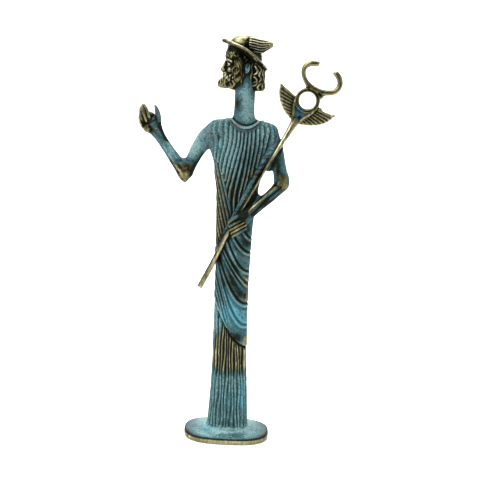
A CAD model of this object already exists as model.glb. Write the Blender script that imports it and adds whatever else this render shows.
"""The dressed model of a slender cast bronze figure of a messenger god, on an oval base.

The whole casting is one piece of sculpted surface. It is modelled as a signed distance on a grid, in
millimetres above the base's rim, with the same stations as the CAD solid, and then carved: pleats, folds,
locks of hair, feathers and fingers. The surface of that grid becomes the mesh, and its patina follows the
carving: dark in the grooves, verdigris on the cloth, rubbed to bare brass on the raised forms.
"""

import math

import bpy
import numpy as np
from mathutils import Matrix, Vector


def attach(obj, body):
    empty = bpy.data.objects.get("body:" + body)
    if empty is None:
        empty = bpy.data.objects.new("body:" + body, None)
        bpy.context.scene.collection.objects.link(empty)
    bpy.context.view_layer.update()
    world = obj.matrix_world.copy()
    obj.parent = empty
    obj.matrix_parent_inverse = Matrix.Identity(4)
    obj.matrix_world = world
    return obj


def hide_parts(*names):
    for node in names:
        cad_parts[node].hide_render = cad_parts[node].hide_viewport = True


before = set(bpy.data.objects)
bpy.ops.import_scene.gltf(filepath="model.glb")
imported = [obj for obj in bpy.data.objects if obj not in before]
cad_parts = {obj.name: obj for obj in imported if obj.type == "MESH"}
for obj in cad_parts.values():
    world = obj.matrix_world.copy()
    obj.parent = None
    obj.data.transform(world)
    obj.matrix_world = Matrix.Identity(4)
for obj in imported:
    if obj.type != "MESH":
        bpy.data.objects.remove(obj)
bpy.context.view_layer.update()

MM = 0.001
RIM_HEIGHT = 4.0  # of the base, in millimetres: heights below are measured from there

# The camera, from the photograph's perspective
AIM = (3.152, 0.0, 137.396)  # in millimetres above the ground
CAMERA_DISTANCE = 620.0
CAMERA_ELEVATION = math.radians(12)
CAMERA_ROLL = math.radians(2.8)
CAMERA_LENS = 70.107
SENSOR = 36.0


def make_camera():
    data = bpy.data.cameras.new("photo_camera")
    data.lens = CAMERA_LENS
    data.sensor_width = SENSOR
    data.clip_end = 20.0
    camera = bpy.data.objects.new("photo_camera", data)
    bpy.context.scene.collection.objects.link(camera)
    back = Vector((0, -math.cos(CAMERA_ELEVATION), math.sin(CAMERA_ELEVATION)))
    place = (Vector(AIM) + CAMERA_DISTANCE * back) * MM
    turn = Matrix.Rotation(math.pi / 2 - CAMERA_ELEVATION, 4, "X") @ Matrix.Rotation(CAMERA_ROLL, 4, "Z")
    camera.matrix_world = Matrix.Translation(place) @ turn
    bpy.context.scene.camera = camera


make_camera()

# The grid: stops of where each run of lines begins, and their spacing up to the next stop
GRID_X = [(-68, 0.6), (-24, 0.42), (25, 0.5), (66, 0)]
GRID_Y = [(-20.6, 1), (-13.5, 0.45), (13.5, 1), (20.6, 0)]
GRID_Z = [(-5, 0.45), (2.8, 0.75), (98, 0.6), (142, 0.5), (225, 0.42), (267.4, 0)]
FAR = 9  # the distance that stands for "nowhere near", in millimetres
MARGIN = 0.8  # how far past a shape its distance is worked out
TRIANGLES = 190000


def grid_lines(stops):
    lines = []
    for (start, step), (end, _) in zip(stops, stops[1:]):
        lines.append(np.linspace(start, end, max(1, round((end - start) / step)), endpoint=False))
    lines.append([stops[-1][0]])
    return np.concatenate(lines).astype(np.float32)


def ramp(low, high, value):
    """A soft step from 0 at low to 1 at high."""
    t = np.clip((value - low) / (high - low), 0, 1)
    return t * t * (3 - 2 * t)


def bump(t):
    return np.exp(-t * t)


def waves(place, pitch, sharpness):
    """A row of rounded waves: 0 at each whole pitch and 1 halfway."""
    return np.abs(np.sin(math.pi * place / pitch)) ** sharpness


def through(rows):
    """A smooth function through rows of [t, value, value, ...]. It returns the values at t."""
    table = np.array(rows, dtype=float)
    at, values = table[:, 0], table[:, 1:]
    before = np.maximum(np.arange(len(at)) - 1, 0)
    after = np.minimum(np.arange(len(at)) + 1, len(at) - 1)
    slopes = (values[after] - values[before]) / (at[after] - at[before])[:, None]

    def blend(t):
        t = np.asarray(t, dtype=float)
        i = np.clip(np.searchsorted(at, t, side="right") - 1, 0, len(at) - 2)
        h = (at[i + 1] - at[i])[..., None]
        s = np.clip((t - at[i])[..., None] / h, 0, 1)
        value = values[i] * (2 * s**3 - 3 * s**2 + 1) + values[i + 1] * (3 * s**2 - 2 * s**3)
        value += slopes[i] * h * (s**3 - 2 * s**2 + s) + slopes[i + 1] * h * (s**3 - s**2)
        return value.astype(np.float32)

    return blend


def slices_between(axes, low, high):
    """The stretches of sorted axes that lie in a box."""
    return tuple(
        slice(np.searchsorted(axis, a), np.searchsorted(axis, b) + 1) for axis, a, b in zip(axes, low, high)
    )


class Clay:
    """The figure as a signed distance on a grid, negative inside, with how much each place is rubbed bare."""

    def __init__(self):
        self.axes = [grid_lines(GRID_X), grid_lines(GRID_Y), grid_lines(GRID_Z)]
        shape = tuple(len(axis) for axis in self.axes)
        self.distance = np.full(shape, FAR, dtype=np.float32)
        self.bare = np.zeros(shape, dtype=np.float32)

    def window(self, low, high):
        """The part of the grid in a box: its slices, and its x, y and z as open arrays."""
        slices = slices_between(self.axes, low, high)
        x, y, z = (axis[part] for axis, part in zip(self.axes, slices))
        return slices, x[:, None, None], y[None, :, None], z[None, None, :]

    def join(self, low, high, shape, blend=0.8, bare=0):
        """Adds a shape, which gives its own distance at x, y, z, with a fillet as wide as blend."""
        pad = blend + MARGIN
        slices, x, y, z = self.window([v - pad for v in low], [v + pad for v in high])
        other = shape(x, y, z)
        mine = self.distance[slices]
        share = np.clip(0.5 + 0.5 * (mine - other) / blend, 0, 1)
        self.distance[slices] = mine + (other - mine) * share - blend * share * (1 - share)
        self.bare[slices] += (bare - self.bare[slices]) * share

    def cut(self, low, high, shape, blend=0.5):
        """Takes a shape away."""
        slices, x, y, z = self.window(low, high)
        other = -shape(x, y, z)
        mine = self.distance[slices]
        share = np.clip(0.5 - 0.5 * (mine - other) / blend, 0, 1)
        self.distance[slices] = mine + (other - mine) * share + blend * share * (1 - share)

    def engrave(self, low, high, depth):
        """Moves the surface in by depth, which is a function of x, y, z."""
        slices, x, y, z = self.window(low, high)
        self.distance[slices] += depth(x, y, z)


def oval_distance(shares, radii):
    """The distance to an oval's surface, from a place's shares of its radii."""
    k0 = np.sqrt(sum(share * share for share in shares))
    k1 = np.sqrt(sum((share / radius) ** 2 for share, radius in zip(shares, radii))) + 1e-6
    return k0 * (k0 - 1) / k1


def oval_side(across, deep, width, depth, squareness):
    """How far a place lies outside a squared-off oval, and its place as a share of the oval's half sizes."""
    u = np.abs(across) / width + 1e-4
    v = np.abs(deep) / depth + 1e-4
    size = (u**squareness + v**squareness) ** (1 / squareness)
    slope = np.sqrt((u ** (squareness - 1) / width) ** 2 + (v ** (squareness - 1) / depth) ** 2)
    return (size - 1) * size ** (squareness - 1) / slope, size


def rounded(out, up, radius):
    """The distance to where two distances are both below zero, with its edge rounded."""
    a, b = out + radius, up + radius
    return np.sqrt(np.maximum(a, 0) ** 2 + np.maximum(b, 0) ** 2) + np.minimum(np.maximum(a, b), 0) - radius


def resample(stations, step=2.2):
    """A denser list of stations along a smooth curve through them."""
    table = np.array(stations, dtype=float)
    gaps = np.linalg.norm(np.diff(table[:, :3], axis=0), axis=1)
    along = np.concatenate([[0], np.cumsum(gaps)])
    count = max(len(stations), round(along[-1] / step) + 1)
    rows = [[t, *row] for t, row in zip(along, table)]
    return through(rows)(np.linspace(0, along[-1], count)).astype(float)


def limb_segment(a, b, x, y, z, end):
    """The distance to one stretch of a limb, between two stations."""
    start, finish = a[:3], b[:3]
    length = max(float(np.linalg.norm(finish - start)), 1e-6)
    axis = (finish - start) / length
    side = np.array([axis[2], 0, -axis[0]])
    reach = float(np.linalg.norm(side))
    side = side / reach if reach > 1e-6 else np.array([1.0, 0.0, 0.0])
    normal = np.cross(axis, side)
    px, py, pz = x - start[0], y - start[1], z - start[2]
    t = px * axis[0] + py * axis[1] + pz * axis[2]
    share = np.clip(t / length, 0, 1)
    across = px * side[0] + pz * side[2]
    depth = px * normal[0] + py * normal[1] + pz * normal[2]
    width, thick = (a[k] + (b[k] - a[k]) * share for k in (3, 4))
    shares = (across / width, depth / thick, (t - share * length) / (width * end))
    return oval_distance(shares, (width, thick, width * end))


def limb(clay, stations, blend=0.8, bare=0, step=2.2, end=1, carve=None):
    """A limb swept through stations [x, y, z, half width, half depth]."""
    points = resample(stations, step)
    reach = points[:, 3:5].max(axis=1)[:, None] + MARGIN
    low = (points[:, :3] - reach).min(axis=0)
    high = (points[:, :3] + reach).max(axis=0)

    def shape(x, y, z):
        best = np.full((x.shape[0], y.shape[1], z.shape[2]), FAR, dtype=np.float32)
        lines = (x[:, 0, 0], y[0, :, 0], z[0, 0, :])
        for a, b in zip(points, points[1:]):
            wide = max(*a[3:], *b[3:]) + 2 * MARGIN
            i, j, k = slices_between(lines, np.minimum(a[:3], b[:3]) - wide, np.maximum(a[:3], b[:3]) + wide)
            near = limb_segment(a, b, x[i], y[:, j], z[:, :, k], end)
            best[i, j, k] = np.minimum(best[i, j, k], near)
        return best if carve is None else best + carve(x, y, z)

    clay.join(low, high, shape, blend, bare)


def upright(rows, squareness=2.2):
    """An upright mass through rows [height, centre x, half width, half depth], as a shape."""
    at = through(rows)
    low, high = rows[0][0], rows[-1][0]

    def shape(x, y, z):
        centre, width, depth = np.moveaxis(at(z), -1, 0)
        side, _ = oval_side(x - centre, y, width, depth, squareness)
        rise = np.gradient(side, z[0, 0, :], axis=2)
        side = side / np.sqrt(1 + np.clip(rise, -3, 3) ** 2)
        return np.maximum(side, np.maximum(low - z, z - high))

    return shape


def box_of(rows):
    """The box round an upright mass."""
    heights, centres, widths, depths = np.array(rows).T
    deep = depths.max()
    return ((centres - widths).min(), -deep, heights[0]), ((centres + widths).max(), deep, heights[-1])


def add_upright(clay, rows, blend=0.8, bare=0, squareness=2.2):
    low, high = box_of(rows)
    clay.join(low, high, upright(rows, squareness), blend, bare)


def ellipsoid(centre, radii):
    def shape(x, y, z):
        return oval_distance([(p - c) / r for p, c, r in zip((x, y, z), centre, radii)], radii)

    return shape


def blob(clay, centre, radii, blend=0.6, bare=0):
    low = [c - r for c, r in zip(centre, radii)]
    high = [c + r for c, r in zip(centre, radii)]
    clay.join(low, high, ellipsoid(centre, radii), blend, bare)


# The body, as stations of height above the base's rim, centre line, half width and half depth
BODY = [
    [0, 0.3, 14.4, 9.8], [10, 0.4, 13.8, 9.4], [22, 0.3, 13.2, 9], [33, 0.2, 12.7, 8.7],
    [46, -0.1, 12.2, 8.3], [60, -0.5, 12, 8], [84, -0.9, 11.7, 7.7], [108, -1.1, 11.6, 7.5],
    [128, -1.1, 12, 7.4], [146, -1, 12.5, 7.4], [161, -0.3, 13.8, 7.4], [169, -0.4, 14.2, 7.5],
    [177, -0.1, 15.9, 7.7], [184, 0.8, 17.4, 7.8], [192, 0.9, 20, 7.8], [200, 0.8, 22.2, 7.4],
    [206, 1.2, 22.8, 6.4], [210, 1.3, 20.9, 5.2], [212.4, -0.2, 15.4, 4.2], [213.4, 1.6, 9, 3.4],
]
BODY_SQUARENESS = 2.4
ROBE_PLEATS = 30  # round the robe
ROBE_PLEAT_DEPTH = 0.75
HEM_STEP = 1.3  # how far the mantle stands out over the robe at its hem


class Girth:
    """Where a place lies round the body: its distance from the front's middle, along the body's outline."""

    def __init__(self, heights):
        self.centre, self.width, self.depth = np.moveaxis(through(BODY)(heights), -1, 0)
        turn = np.linspace(0, math.pi, 145)
        sine, cosine, n = np.sin(turn), np.cos(turn), BODY_SQUARENESS
        radius = (np.abs(sine) ** n + np.abs(cosine) ** n) ** (-1 / n)
        px = self.width[:, None] * radius * sine
        py = self.depth[:, None] * radius * cosine
        steps = np.hypot(np.diff(px, axis=1), np.diff(py, axis=1))
        self.arc = np.concatenate([np.zeros((len(heights), 1)), np.cumsum(steps, axis=1)], axis=1)
        self.turn_step = turn[1]

    def at(self, x, y, k):
        """The signed arc at x, y on the grid's k-th height, and half the girth there."""
        side = x - self.centre[k]
        turn = np.arctan2(np.abs(side) / self.width[k], -y / self.depth[k]) / self.turn_step
        i = np.clip(turn.astype(int), 0, self.arc.shape[1] - 2)
        share = turn - i
        arc = self.arc[k, i] * (1 - share) + self.arc[k, i + 1] * share
        return np.sign(side) * arc, self.arc[k, -1]


# The hem and the mantle's folds: each falls from the left as a parabola, z = level + bend * (x - turn) ** 2,
# and is level to the right of its turn.
HEM = (60.25, 0.0443, 15)
# With each fold: the height and half width of its ridge, and the x at which it has faded out
FOLDS = [
    (134.2, 0.13, 11.5, 0.75, 0.6, 40), (124.4, 0.068, 11.5, 0.85, 0.65, 40),
    (111.7, 0.08, 10.6, 0.8, 0.62, 40), (96.4, 0.032, 23.5, 0.75, 0.5, 40), (91.6, 0.03, 25, 0.6, 0.55, 8),
    (89.5, 0.073, 10, 0.85, 0.62, 40), (74.8, 0.093, 10, 0.8, 0.62, 40), (82, 0.084, 10, 0.5, 0.5, 0),
]
LEFT_LINES = (82, 0.084, 10)
LEFT_LINES_PITCH = 1.9
FOLD_GROOVE = 1.3  # how deep the cloth is cut above a ridge, as a share of the ridge's height
SIDE_SHARE = 0.3  # of the folds that is left on the body's narrow sides

# The chest's pleats: where their ridges stand, at each height. They lean to the left on their way down.
PLEAT_HEIGHTS = [150, 163, 175, 187, 199, 212]
PLEAT_RIDGES = [
    [-26, -24, -21, -18, -15.5, -13, -10.5, -5.2, -1.5, 1.5, 4.3, 6.7, 9, 11, 13],
    [-25, -23, -20, -17, -14.5, -12, -9.8, -6.2, -2.2, 1.4, 3.9, 6.3, 8.6, 10.8, 13],
    [-22, -20, -17.5, -15, -11.8, -9.1, -6.8, -3.9, -0.1, 3.8, 6.2, 8.5, 10.8, 13.2, 15.6],
    [-20, -17.4, -14.8, -12.4, -9.5, -6.5, -3.9, -0.9, 2.2, 5.4, 7.8, 10.4, 13, 15.5, 18.5],
    [-18.5, -15.7, -12.7, -9.7, -6.6, -3.9, -1, 1.3, 3.9, 6.5, 9.1, 12.2, 14.8, 17.4, 20],
    [-19, -16, -13.2, -10.3, -6.6, -3.8, -1.2, 1.5, 4.2, 6.8, 9.2, 12, 14.6, 17.2, 19.8],
]
# The line on which they end, where they meet the folds from the left armpit: height and x
PLEATS_END = [
    (126, -5), (148, -4.6), (159, -6), (168, -8.3), (174, -10), (184, -14.4), (190, -24), (214, -30),
]
ARMPIT_FOLD_PITCH = 2.45
STAFF_LINE = (-10.6, 125, 12.8, 173.2)  # two points of the staff's line across the body


def neckline(x, front):
    """The height of the collar's middle, which dips at the front."""
    return np.where(front, 208.6 + 0.056 * (x - 3.2) ** 2, 210.6 + 0.02 * (x - 3.2) ** 2)


def collar_cut(cut, rise):
    """Ends the pleats under the collar: a raised band, a thinner one below it and a dark gap above."""
    cut = cut * ramp(-3, -3.7, rise)
    cut = cut - 0.85 * bump((rise + 0.3) / 0.8) + 0.55 * bump((rise + 1.55) / 0.35)
    cut = cut + 0.15 * bump((rise + 2.5) / 0.7) + 1 * bump((rise - 1.2) / 0.5)
    return cut + 0.5 * ramp(0.4, 1, rise)


def falling(curve, x, z):
    """How far a place lies above a falling curve, square to it."""
    level, bend, turn = curve
    run = np.minimum(x - turn, 0)
    return (z - level - bend * run * run) / np.sqrt(1 + (2 * bend * run) ** 2)


def staff_side(x, z):
    """How far a place lies to the right of the staff's line, square to it."""
    x0, z0, x1, z1 = STAFF_LINE
    run, rise = x1 - x0, z1 - z0
    length = math.hypot(run, rise)
    return (x - x0) * rise / length - (z - z0) * run / length


def robe_cut(x, z, around, above_hem):
    phase = around * ROBE_PLEATS / 2 + 0.22
    phase = phase + 0.16 * np.sin(z / 8 + around * 9 * math.pi)
    phase = phase + 0.09 * np.sin(z / 3.7 - around * 5 * math.pi)
    pleat = np.abs(np.cos(math.pi * phase)) ** 2.2
    stepped = ramp(-10, -6, x)  # at the far left the mantle runs on into the pleats
    depth = ROBE_PLEAT_DEPTH + 0.5 * ramp(38, 45, z)
    depth = depth * (1 + 0.35 * np.sin(z / 4.3 + around * 23) * np.sin(around * 37 + z / 11))
    stepped_out = (0.25 + 0.75 * stepped) * (1 - 0.85 * ramp(8, 10.5, x))
    cut = depth * pleat + HEM_STEP * np.clip(z / 62, 0, 1) ** 2 * stepped_out
    return cut + 0.6 * stepped * bump((above_hem + 0.9) / 0.9)


def mantle_cut(x, z, above_hem):
    cut = -0.15 * bump((above_hem - 0.7) / 0.7) * ramp(-10, -6, x)
    # Fine lines run down the left side, beside the lowest folds
    below = falling(LEFT_LINES, x, z)
    fine = 0.8 * waves(x + 0.3 * (z - 100) + 0.06 * np.sin(z), LEFT_LINES_PITCH, 1.6)
    cut = cut + fine * ramp(-0.6, -1.8, below) * ramp(0.4, 1.6, above_hem) * ramp(-1, -4, x)
    for level, bend, turn, height, half, end in FOLDS:
        q = falling((level, bend, turn), x, z)
        here = ramp(end, end - 5, x)
        cut = cut - here * height * bump(q / half)
        cut = cut + here * FOLD_GROOVE * height * bump((q - 1.45) / 0.85)
        cut = cut + here * 0.4 * height * bump((q + 1.9) / 1.1)
    return cut


def chest_cut(x, z, k, ridges, right):
    """The chest's pleats, the folds from the armpit and the band beside the staff."""
    rows = ridges[k]
    i = np.clip((rows < x[:, None]).sum(axis=1), 1, rows.shape[1] - 1)[:, None]
    a, b = (np.take_along_axis(rows, at, 1)[:, 0] for at in (i - 1, i))
    share = (x - a) / (b - a)
    low = ramp(196, 166, z)
    shoulders = 1 - 0.75 * ramp(17, 21.5, np.abs(x - 1)) * ramp(183, 189, z)
    left = ramp(2, -6, x) * ramp(176, 190, z)
    lively = 1 + 0.22 * np.sin(0.5 * z + 1.9 * x) * np.sin(0.31 * z - 0.8 * x)
    shoulders = shoulders * (1 - 0.65 * ramp(-8, -14, x) * ramp(188, 197, z))
    depth = (1.15 + 0.75 * low - 0.35 * left) * shoulders * lively
    pleats = depth * waves(share, 1, 2.8 - 1.6 * low + 1.6 * left)
    beyond = x - through(PLEATS_END)(z)[..., 0]
    folds = 1.6 * waves((x + 0.3 * (z - 160) + 6.8) / ARMPIT_FOLD_PITCH, 1, 1.4)
    cut = np.where(beyond > 0, pleats, folds) + 0.35 * bump(beyond / 0.8)
    band = ramp(-5, -4.2, right)
    strip = 0.55 * waves(right + 4.2, 1.3, 1.5) - 0.7 + 1.1 * bump((right + 4.6) / 0.5)
    strip = strip + 0.25 * np.sin(z * 1.9 + 2 * np.sin(z * 0.7)) * np.sin(z * 0.8 + 1)
    return cut * (1 - band) + strip * band * ramp(1, -0.5, right)


def cloth_cut(x, y, z, k, arc, half_girth, centre, depth, ridges):
    """How deep the robe, the mantle and the chest are cut at places on the body."""
    across = centre + arc  # the front, rolled out flat
    flank = ramp(0.12, 0.5, np.abs(y) / depth)
    front = y < 0
    above_hem = falling(HEM, x, z)
    right = staff_side(np.where(front, across, x), z)
    chest = chest_cut(np.where(front, across, x), z, k, ridges, np.where(front, right, -30))
    back_pleats = 1.1 * waves(x, 2.6, 1.8)
    chest = collar_cut(np.where(front, chest, back_pleats), z - neckline(x, front))
    end = through(PLEATS_END)(z)[..., 0]
    on_chest = ramp(139, 142, z) * ramp(1.6, 0.6, right)
    on_folds = ramp(0.5, -0.5, across - end) * ramp(124, 128, z) * ramp(-1, -2, right)
    on_chest = np.where(front, np.maximum(on_chest, on_folds), ramp(134, 142, z))
    upper = mantle_cut(x, z, above_hem) * (1 - on_chest) + chest * on_chest
    upper = upper * (SIDE_SHARE + (1 - SIDE_SHARE) * flank)
    return np.where(above_hem < 0, robe_cut(x, z, arc / half_girth, above_hem), upper)


BODY_FOOT = -1.6  # how far down the robe reaches into the base
BODY_BOX = box_of([[BODY_FOOT, *BODY[0][1:]], *BODY])


def add_body(clay):
    clay.join(*BODY_BOX, upright(BODY, BODY_SQUARENESS), 0.6)


def carve_cloth(clay):
    """Cuts the robe, the mantle and the chest, and fades out over the shoulders and along the arms."""
    low, high = BODY_BOX
    slices, x, y, z = clay.window([v - 1.5 for v in low], [v + 1.5 for v in high])
    mine = clay.distance[slices]
    own = upright(BODY, BODY_SQUARENESS)(x, y, z)
    i, j, k = np.nonzero((np.abs(mine) < 3.4) & (own < 4))  # near the surface and near the body
    heights = z[0, 0, :]
    px, py, pz = x[i, 0, 0], y[0, j, 0], heights[k]
    girth = Girth(heights)
    ridges = through([[h, *row] for h, row in zip(PLEAT_HEIGHTS, PLEAT_RIDGES)])(heights)
    cut = cloth_cut(px, py, pz, k, *girth.at(px, py, k), girth.centre[k], girth.depth[k], ridges)
    mine[i, j, k] += cut * ramp(3.6, 1, own[i, j, k]) * ramp(-1.8, -0.6, pz)


BASE_HALF_WIDTH, BASE_HALF_DEPTH, BASE_SQUARENESS = 29, 19.75, 2.7
BASE_EDGE = 0.9  # the radius of its rounded rim
BASE_CROWN = 1.8  # how far its middle stands over its rim


def add_base(clay):
    def shape(x, y, z):
        side, size = oval_side(x, y, BASE_HALF_WIDTH, BASE_HALF_DEPTH, BASE_SQUARENESS)
        top = BASE_CROWN * (1 - np.minimum(size, 1) ** 3)
        return rounded(side, np.maximum(z - top, -RIM_HEIGHT - z), BASE_EDGE)

    low, high = (-BASE_HALF_WIDTH, -BASE_HALF_DEPTH, -RIM_HEIGHT), (BASE_HALF_WIDTH, BASE_HALF_DEPTH, 2)
    clay.join(low, high, shape, 0.7)


def add_mound(clay):
    """The base swells up round the robe's foot, over the ends of its pleats."""
    foot = -1  # just under the base's top
    swell = ellipsoid((0.3, 0, -0.6), (17.8, 16.2, 6.8))

    def shape(x, y, z):
        return np.maximum(swell(x, y, z), foot - z)

    clay.join((-17.5, -16.2, foot), (18.1, 16.2, 6.2), shape, 1.2)


# The arms, as stations of x, y, height, half width and half depth
UPPER_ARMS = [
    [
        [-15, 0, 204.6, 7, 5.6], [-20.8, 0, 200.8, 6.2, 5.3], [-26.4, 0, 193.2, 5.1, 4.8],
        [-30.8, -0.2, 184.4, 4.4, 4.4], [-34, -0.4, 177.6, 4.6, 4.2],
    ],
    [
        [17.6, 0, 204.2, 7, 5.6], [22, -0.1, 196.4, 6, 5.1], [25.4, -0.3, 186.4, 4.9, 4.6],
        [27.3, -0.4, 179.2, 4.7, 4.4], [28.7, -0.6, 172.4, 4.6, 4.2],
    ],
]
RAISED_FOREARM = [
    [-35.2, -0.4, 177.4, 4.6, 4.2], [-41, -0.8, 184.5, 4, 3.9], [-47.4, -1, 193.2, 3.5, 3.4],
    [-51.9, -1.2, 199.6, 3.7, 3.1], [-56.4, -1.6, 206.4, 5.3, 3],
]
BENT_FOREARM = [
    [28.4, -0.6, 171.4, 4.5, 4.2], [22.2, -2.2, 164.9, 4, 3.8], [16.2, -4.4, 159.9, 3.9, 3.7],
    [9.4, -6.8, 154.1, 4, 3.6], [4.4, -8, 149.2, 4.6, 3.4], [-0.6, -8.6, 145, 4.2, 2.8],
]


def add_upper_arms(clay):
    for stations in UPPER_ARMS:
        limb(clay, stations, 2)
    blob(clay, (19.4, -0.4, 184.4), (3.7, 3.8, 4.4), 1.6)
    blob(clay, (13, -2, 162.4), (2.8, 3, 2.8), 1.4)
    blob(clay, (-34.8, -0.7, 181.4), (4.6, 4.3, 3.9), 1.2)
    blob(clay, (28.6, -0.7, 175), (4.5, 4.6, 5), 2.6)


def facets(path, lines):
    """Soft ridges along a limb: each is how far it lies beside the limb's line, its height and half width."""
    start, finish = path[0], path[-1]
    run, rise = finish[0] - start[0], finish[2] - start[2]
    length = math.hypot(run, rise)
    dx, dz = run / length, rise / length

    def carve(x, y, z):
        right, up = x - start[0], z - start[2]
        along = right * dx + up * dz
        here = ramp(0, 5, along) * ramp(length, length - 6, along) * ramp(0.5, -1.5, y)
        return here * sum(-height * bump((right * dz - up * dx - at) / half) for at, height, half in lines)

    return carve


def add_forearms(clay):
    limb(clay, [
        [-35.4, -0.4, 180, 6.2, 4.1], [-35.1, -0.4, 174.8, 4, 3.2], [-34.7, -0.4, 171.2, 1.3, 1.8],
    ], 1.6, 0.7)
    limb(clay, RAISED_FOREARM, 1.6, carve=facets(RAISED_FOREARM, [(-1.9, 0.35, 0.5), (1.4, 0.3, 0.5)]))
    limb(clay, BENT_FOREARM, 1.6, 0.1, carve=facets(BENT_FOREARM, [(1.7, 0.5, 0.8), (-0.6, -0.35, 0.7)]))
    # The holding hand's fingers
    for i, bare in enumerate((0.5, 0.85, 0.8, 0.3)):
        x, z = 4.4 + 0.4 * i, 149.6 - 2.3 * i
        limb(clay, [
            [x + 0.6, -9.2, z + 0.4, 1.05, 2], [x - 2.2, -10.5, z - 1.1, 1.15, 2.3],
            [x - 4.6, -11, z - 2.7, 1.25, 2.4], [x - 6.4, -10.4, z - 3.9, 1.1, 2.3],
            [x - 7.8 + 0.3 * i, -9, z - 4.9, 0.95, 2.2],
        ], 0.3, bare, step=1)
    # The thumb lies along the top, on the staff
    limb(clay, [
        [6, -9.4, 153.2, 1.5, 2.2], [1.6, -10.6, 151.4, 1.4, 2.2], [-2.4, -10.8, 149.2, 1.3, 2],
        [-4.6, -10.2, 147.2, 1, 1.6],
    ], 0.4, 0.25, step=1)


# The raised hand's fingers: how far each is rubbed bare, and its points
FINGERS = [
    (0.35, [-58.2, -3, 209.8], [-59.6, -4.2, 213.8], [-61, -4.5, 217.6], [-62.6, -4, 220.2]),
    (0.3, [-60.4, -3.2, 208.8], [-62, -4.6, 213.4], [-63.1, -4.9, 217], [-64, -4.2, 219.8]),
    (0.45, [-62.2, -2.4, 207.4], [-63.8, -3.4, 211.6], [-64.6, -3.7, 215], [-64.8, -3.1, 217.8]),
    (0.75, [-63.4, -1.8, 205.4], [-64.9, -2.7, 209], [-65.1, -2.9, 212], [-65, -2.4, 214.8]),
]
FINGER_HALVES = [1.15, 1.2, 1.05, 0.8]
# Its palm's creases: x, height and lean
PALM_CREASES = ((-57.4, 208.6, 0.5), (-58.2, 210.6, -0.5), (-56.4, 212.6, 0.9), (-55.6, 206.4, 1.3))


def add_raised_hand(clay):
    """A cupped palm towards the viewer, its fingers closed in two pairs and its thumb apart."""
    limb(clay, [[-56.8, -1.4, 206.8, 5.4, 2.6], [-59.4, -1.4, 210.4, 5.2, 2.2]], 1.2, 0.35)
    palm = [[-60, -1.6, 209, 3.8, 1.2], [-62.4, -2.2, 214, 2.8, 1.1], [-63.2, -2.8, 217.6, 1.4, 0.9]]
    limb(clay, palm, 0.6, 0.3)
    blob(clay, (-55.4, -3.2, 208.4), (2.5, 1.9, 4.2), 1.4)
    blob(clay, (-60.2, -2.4, 205.6), (2.8, 1.8, 3.8), 1.6, 0.3)
    blob(clay, (-54, -4.2, 204.9), (0.9, 0.8, 0.6), 0.5, 1.1)
    for bare, *finger in FINGERS:
        stations = [[*point, half, half + 0.2] for point, half in zip(finger, FINGER_HALVES)]
        limb(clay, stations, 0.25, bare, step=1)
    thumb = [
        [-53.6, -1.8, 206.4, 2.4, 2.2], [-53.3, -2.8, 212.2, 2.1, 1.9], [-54.2, -3.4, 216.8, 1.5, 1.4],
        [-55.4, -3.8, 219.6, 0.8, 0.9],
    ]
    limb(clay, thumb, 0.6, 0.05, step=1)

    def creases(x, y, z):
        cut = 0
        for x0, z0, lean in PALM_CREASES:
            cut = cut + 0.4 * bump(((z - z0) - lean * (x - x0)) / 0.4) * bump((x - x0) / 2.4)
        return cut * ramp(-1.8, -2.6, y)

    clay.engrave((-62, -7, 203), (-51, 0, 217), creases)


# The head's masses, as stations of height, centre line, half width and half depth
NECK = [
    [205, 2, 9.4, 5.6], [212, 2, 8.4, 5.6], [215, 1.9, 7.2, 5.8], [219, 1.8, 6.7, 5.9],
    [238, 1.8, 6.6, 6.2], [243, 1.8, 6, 6.4],
]
SKULL = [
    [231.5, -1.6, 6, 4.4], [236, -1.8, 9.4, 5.4], [241, -0.8, 10.8, 6.5], [246, -0.2, 11.1, 7.1],
    [251, 0.1, 11.9, 7.4], [260, 0.4, 10.4, 6.6],
]
BEARD = [
    [232.3, -9.6, 3.4, 2], [233.3, -10, 5.2, 3.9], [236, -10, 5.4, 5.1], [238.8, -8.8, 4.6, 6],
    [241.8, -6, 3.2, 6.2],
]
WHISKERS = [
    [232.8, -7.8, 2.4, 5.6], [235.5, -6, 3.6, 6.6], [239, -3.6, 4.4, 7.4], [246, -2.2, 4.4, 7.8],
    [252, -1.8, 3.4, 8],
]
BACK_LOCKS = [
    [231.4, 10.4, 2.6, 4], [232.8, 10.1, 4, 5.8], [238, 9.8, 4.3, 6.9], [245, 9.2, 4.7, 7.4],
    [249.4, 8.4, 4.2, 7], [251.4, 7.8, 2.6, 5.6],
]
FRINGE = [[251.8, -4.4, 6, 6.8], [254.6, -4.2, 6.8, 7.5], [258, -3.8, 6.4, 7]]
CROWN = [
    [250, -0.2, 11, 7.6], [257, -0.4, 10.6, 8], [260.5, -0.3, 9.8, 7.4], [263.4, 0, 8.2, 6.2],
    [265.2, 0.6, 6.4, 4.6], [266, 1.2, 4.2, 2.6],
]


HAIR_REACH, HAIR_STEP = 17, 0.12  # how far out the search for the head's surface starts, and its steps


def skin(still, axes, centre, turns, heights):
    """The first places met on the surface from outside, at turns about an upright axis and at heights.

    A turn of 0 faces the nose's way, and a turn of 90 degrees faces the viewer.
    """
    reach = np.arange(HAIR_REACH, 0, -HAIR_STEP)
    turns = np.radians(turns)[:, None]
    x = centre - np.cos(turns) * reach
    y = -np.sin(turns) * reach
    places = (x, y, np.broadcast_to(heights[:, None], x.shape))
    at = tuple(np.clip(np.searchsorted(axis, p), 0, len(axis) - 1) for axis, p in zip(axes, places))
    inside = still[at] < 0
    rows = np.arange(len(turns))
    met = np.flatnonzero(inside.any(axis=1))
    nearest = met[np.abs(rows[:, None] - met).argmin(axis=1)]  # a miss takes its neighbour's reach
    first = inside.argmax(axis=1)[nearest]
    return np.stack([x[rows, first], y[rows, first], heights], axis=1)


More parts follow.
